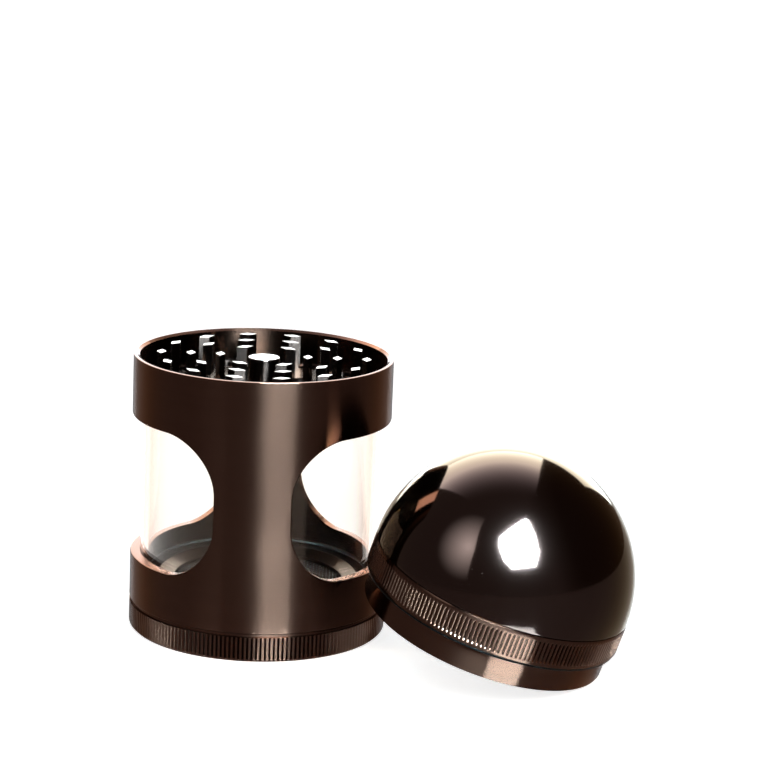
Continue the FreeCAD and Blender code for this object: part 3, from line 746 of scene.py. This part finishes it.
# the lid: knurled band over a smooth skirt, teeth and a boss underneath
lid = dict(skirtBore=27.6, skirtRadius=29.8, skirtTop=6.8,
           skirtInnerRound=0.2, skirtOuterRound=0.3, skirtRoot=0.1,
           bandTop=14.2, bandLowRound=0.4, bandTopRound=0.25, barsLow=7.7, barsHigh=13.1, barRunOut=0.3,
           bore=28.6, boreRound=0.15, ceiling=7.2, ceilingRoot=0.4, deck=10.2, deckRoot=0.3,
           bossRadius=6.0, boss=6.0, bossRound=0.4, bossRoot=0.3,
           pocketRadius=3.05, pocket=8.9, pocketRound=0.1,
           toothFoot=0.2, toothSunk=0.3)
cover = turned([
    (0, lid["pocket"], 0),
    (lid["pocketRadius"], lid["pocket"], 0),
    (lid["pocketRadius"], lid["boss"], lid["pocketRound"]),
    (lid["bossRadius"], lid["boss"], lid["bossRound"]),
    (lid["bossRadius"], lid["ceiling"], lid["bossRoot"]),
    (lid["skirtBore"], lid["ceiling"], lid["ceilingRoot"]),
    (lid["skirtBore"], 0, lid["skirtInnerRound"]),
    (lid["skirtRadius"], 0, lid["skirtOuterRound"]),
    (lid["skirtRadius"], lid["skirtTop"], lid["skirtRoot"]),
    (outerRadius, lid["skirtTop"], lid["bandLowRound"]),
    (outerRadius, lid["barsLow"], 0),
    (outerRadius, lid["barsLow"] + lid["barRunOut"], 0),
    (outerRadius, lid["barsHigh"] - lid["barRunOut"], 0),
    (outerRadius, lid["barsHigh"], 0),
    (outerRadius, lid["bandTop"], lid["bandTopRound"]),
    (lid["bore"], lid["bandTop"], lid["boreRound"]),
    (lid["bore"], lid["deck"], lid["deckRoot"]),
    (0, lid["deck"], 0),
], steps=knurlSteps, rounds=knurl["rounds"])
pressKnurl(cover, knurl["lidDepths"], lid["barsLow"] + lid["barRunOut"] / 2,
           lid["barsHigh"] - lid["barRunOut"] / 2)
lidTeeth = cutTeeth(tooth["lidRings"], lid["toothFoot"], lid["ceiling"] + lid["toothSunk"], False)
makePiece(carve(cover, lidTeeth, "UNION"), "lidToothPlate", lidAnodised, "lid", ["lid_tooth_plate"],
          lidPlace)

# the thin ring that the lid turns on, and the lid's magnet
glide = dict(bore=29.9, radius=31.2, foot=6.3, top=6.75, edgeRound=0.1)
makePiece(squareRing(glide["bore"], glide["radius"], glide["foot"], glide["top"], glide["edgeRound"]),
          "glideRing", glidePlastic, "lid_glide", ["glide_ring"], lidPlace)
makePiece(magnetDisc(magnet["lidFoot"], magnet["lidTop"]), "lidMagnet", lidNickel, "lid", ["lid_magnet"],
          lidPlace)

# the polished dome, hollow, with a lip that sits in the band
dome = dict(lipBore=26.6, lipRadius=28.5, lipFoot=10.8, lipRound=0.2, foot=14.2, seam=0.25, seamRound=0.05,
            top=45.2, innerTop=42.2, arcSteps=96, innerArcSteps=32)
domeFoot = (outerRadius, dome["foot"] + dome["seam"])
domeLip = [
    (dome["lipBore"], dome["lipFoot"], dome["lipRound"]),
    (dome["lipRadius"], dome["lipFoot"], dome["lipRound"]),
    (dome["lipRadius"], dome["foot"], dome["seamRound"]),
    (outerRadius - dome["seam"], dome["foot"], dome["seamRound"]),
    (*domeFoot, dome["seamRound"]),
]
makePiece(turned(
    domeLip
    + domeArc(domeFoot, (0, dome["top"]), dome["arcSteps"])
    + [(0, dome["top"], 0), (0, dome["innerTop"], 0)]
    + domeArc((0, dome["innerTop"]), (dome["lipBore"], dome["foot"]), dome["innerArcSteps"])
    + [(dome["lipBore"], dome["foot"], 0)],
), "domeCap", domePolish, "lid", ["dome_cap"], lidPlace)


# floor and surroundings are white to the camera, to gloss and through glass, and dimmer as lamps
def brightTo(tree):
    rays = tree.nodes.new("ShaderNodeLightPath")
    seen = addMath(tree, "ADD", rays.outputs["Is Camera Ray"], rays.outputs["Is Glossy Ray"])
    return addMath(tree, "MINIMUM", addMath(tree, "ADD", seen, rays.outputs["Is Transmission Ray"]), 1.0)


studio = dict(worldDiffuse=0.4, floorSize=4.0, floorGlow=0.8, floorColour=(0.8, 0.79, 0.78))
world = bpy.data.worlds.new("whiteStudio")
bpy.context.scene.world = world
world.use_nodes = True
sky = world.node_tree.nodes["Background"]
sky.inputs["Color"].default_value = (1, 1, 1, 1)
skyLevel = addRange(world.node_tree, brightTo(world.node_tree), 0, 1, studio["worldDiffuse"], 1)
world.node_tree.links.new(skyLevel, sky.inputs["Strength"])


def addStage(bm, name, material):
    item = addObject(bm, name)
    item.data.materials.append(material)
    return item


floorMaterial = bpy.data.materials.new("paleFloor")
floorMaterial.use_nodes = True
floorTree = floorMaterial.node_tree
floorShader = floorTree.nodes["Principled BSDF"]
floorShader.inputs["Base Color"].default_value = (*studio["floorColour"], 1)
floorShader.inputs["Roughness"].default_value = 1
floorShader.inputs["Specular IOR Level"].default_value = 0
floorShader.inputs["Emission Color"].default_value = (1, 1, 1, 1)
floorTree.links.new(addMath(floorTree, "MULTIPLY", brightTo(floorTree), studio["floorGlow"]),
                    floorShader.inputs["Emission Strength"])
floorMesh = bmesh.new()
bmesh.ops.create_grid(floorMesh, x_segments=1, y_segments=1, size=studio["floorSize"])
addStage(floorMesh, "paleFloor", floorMaterial)


def aim(azimuth, elevation):
    # a direction from the object: azimuth 0 is the front, 90 the right
    across, up = math.radians(azimuth), math.radians(elevation)
    return Vector((math.sin(across) * math.cos(up), -math.cos(across) * math.cos(up), math.sin(up)))


def seenByGlossOnly(item, throughGlass=False):
    item.visible_camera = False
    item.visible_diffuse = False
    item.visible_shadow = False
    item.visible_transmission = throughGlass


def laidOver(tree, cover, amount):
    # lets what lies behind show through where the cover is thin
    through = tree.nodes.new("ShaderNodeBsdfTransparent")
    blend = tree.nodes.new("ShaderNodeMixShader")
    feed(tree, amount, blend.inputs["Fac"])
    tree.links.new(through.outputs["BSDF"], blend.inputs[1])
    tree.links.new(cover, blend.inputs[2])
    tree.links.new(blend.outputs["Shader"], tree.nodes["Material Output"].inputs["Surface"])


def startCard(name):
    material = bpy.data.materials.new(name)
    material.use_nodes = True
    material.node_tree.nodes.remove(material.node_tree.nodes["Principled BSDF"])
    return material, material.node_tree


cardsAbout = (57, -40, 35)    # the lid's middle, in mm
usualReach = 1.2


def hangCard(card):
    # a soft light panel or a dark flag; its corners are tangents of angles right and up of its aim
    reach = card.get("reach", usualReach)
    out = aim(*card["aim"])
    right = out.cross(Vector((0, 0, 1))).normalized()
    facing = Matrix((right, right.cross(out), -out)).transposed().to_4x4()
    place = Matrix.Translation(Vector(cardsAbout) * mm + out * reach) @ facing
    bm = bmesh.new()
    bm.faces.new([bm.verts.new((x * reach, y * reach, 0)) for x, y in card["corners"]])
    bmesh.ops.transform(bm, matrix=place, verts=bm.verts[:])
    material, tree = startCard(card["name"])
    glow = tree.nodes.new("ShaderNodeEmission")
    glow.inputs["Color"].default_value = (*card["colour"], 1)
    glow.inputs["Strength"].default_value = card["strength"]
    amount = 1
    if "fade" in card:
        axis, full, none, power = card["fade"]    # along X or Y, or out from the middle
        onCard = backFrom(tree, tree.nodes.new("ShaderNodeTexCoord").outputs["Object"], place)
        if axis == "out":
            middle = tree.nodes.new("ShaderNodeVectorMath")
            middle.operation = "LENGTH"
            tree.links.new(onCard, middle.inputs[0])
            along = middle.outputs["Value"]
        else:
            split = tree.nodes.new("ShaderNodeSeparateXYZ")
            tree.links.new(onCard, split.inputs[0])
            along = split.outputs[axis]
        amount = addMath(tree, "POWER", addRange(tree, along, none * reach, full * reach), power)
    laidOver(tree, glow.outputs["Emission"], amount)
    seenByGlossOnly(addStage(bm, card["name"], material), card.get("throughGlass", False))


cards = [
    dict(name="mainBox", aim=(14.7, 41.5), strength=2800, colour=(0.7, 1.24, 1.5), reach=0.75,
         corners=[(-0.18, 0.43), (-0.24, 0.2), (-0.28, -0.1), (-0.22, -0.31), (0.14, -0.34), (0.25, -0.2),
                  (0.29, 0.03), (0.26, 0.16), (0.06, 0.29)]),
    dict(name="leftSheet", aim=(-39.5, 36), strength=48, colour=(0.7, 1.0, 1.12),
         corners=[(-0.02, 0.5), (-0.036, 0.32), (-0.107, -0.03), (-0.13, -0.55), (0.6, -0.55), (0.6, 0.5)],
         fade=("out", 0.03, 0.55, 1.6)),
    dict(name="backTop", aim=(-178, 42.4), strength=42, colour=(0.7, 0.9, 1.1),
         corners=[(-0.7, -0.25), (-0.7, 1.5), (0.6, 1.5), (0.45, 0.77), (0.34, 0.16), (0.29, -0.25)],
         fade=("Y", 0.12, 1.5, 5.0)),
    dict(name="backLow", aim=(-178, 42.4), strength=20, colour=(0.78, 0.94, 1.06),
         corners=[(-0.7, -0.9), (-0.7, -0.25), (0.7, -0.25), (0.7, -0.9)], throughGlass=True),
    dict(name="rightFlag", aim=(110, 15), strength=0.35, colour=(1.0, 0.7, 0.5), reach=1.3,
         corners=[(-1.9, -1.9), (-1.9, 1.9), (1.9, 1.9), (1.9, -1.9)], fade=("out", 0.84, 1.88, 1.0)),
]
for card in cards:
    hangCard(card)

# a faint gloss just above the floor, seen only in what the metal mirrors
tableGloss = dict(name="tableGloss", height=0.05, amount=0.075, roughness=0.08)
sheenMaterial, sheenTree = startCard(tableGloss["name"])
sheen = sheenTree.nodes.new("ShaderNodeBsdfGlossy")
sheen.inputs["Roughness"].default_value = tableGloss["roughness"]
laidOver(sheenTree, sheen.outputs["BSDF"], tableGloss["amount"])
sheenMesh = bmesh.new()
bmesh.ops.create_grid(sheenMesh, x_segments=1, y_segments=1, size=studio["floorSize"],
                      matrix=Matrix.Translation((0, 0, tableGloss["height"] * mm)))
seenByGlossOnly(addStage(sheenMesh, tableGloss["name"], sheenMaterial))

# one soft lamp lights what is matt and casts the shadow, and the cards are for the gloss
lamp = dict(power=4.0, size=0.9, aim=(14.7, 50), reach=1.2)
lampData = bpy.data.lights.new("softKey", "AREA")
lampData.energy = lamp["power"]
lampData.shape = "DISK"
lampData.size = lamp["size"]
softKey = bpy.data.objects.new("softKey", lampData)
bpy.context.scene.collection.objects.link(softKey)
softKey.location = aim(*lamp["aim"]) * lamp["reach"]
softKey.rotation_mode = "QUATERNION"
softKey.rotation_quaternion = (-softKey.location).to_track_quat("-Z", "Y")
softKey.visible_glossy = False

# the camera stands where the photograph was taken, rolled a little
shot = dict(place=(33.866, -616.132, 202.309), forward=(-0.0072808, 0.97487293, -0.22264269), roll=2.295,
            lens=122.08, sensor=36.0, near=0.01)
cameraData = bpy.data.cameras.new("shot")
cameraData.lens = shot["lens"]
cameraData.sensor_width = shot["sensor"]
cameraData.clip_start = shot["near"]
camera = bpy.data.objects.new("shot", cameraData)
bpy.context.scene.collection.objects.link(camera)
ahead = Vector(shot["forward"]).normalized()
levelRight = ahead.cross(Vector((0, 0, 1))).normalized()
levelUp = levelRight.cross(ahead)
roll = math.radians(shot["roll"])
cameraRight = levelRight * math.cos(roll) + levelUp * math.sin(roll)
cameraUp = cameraRight.cross(ahead)
camera.matrix_world = (Matrix.Translation(Vector(shot["place"]) * mm)
                       @ Matrix((cameraRight, cameraUp, -ahead)).transposed().to_4x4())
bpy.context.scene.camera = camera
bpy.context.scene.view_settings.view_transform = "Standard"
print("studio and camera set")

bpy.context.view_layer.update()
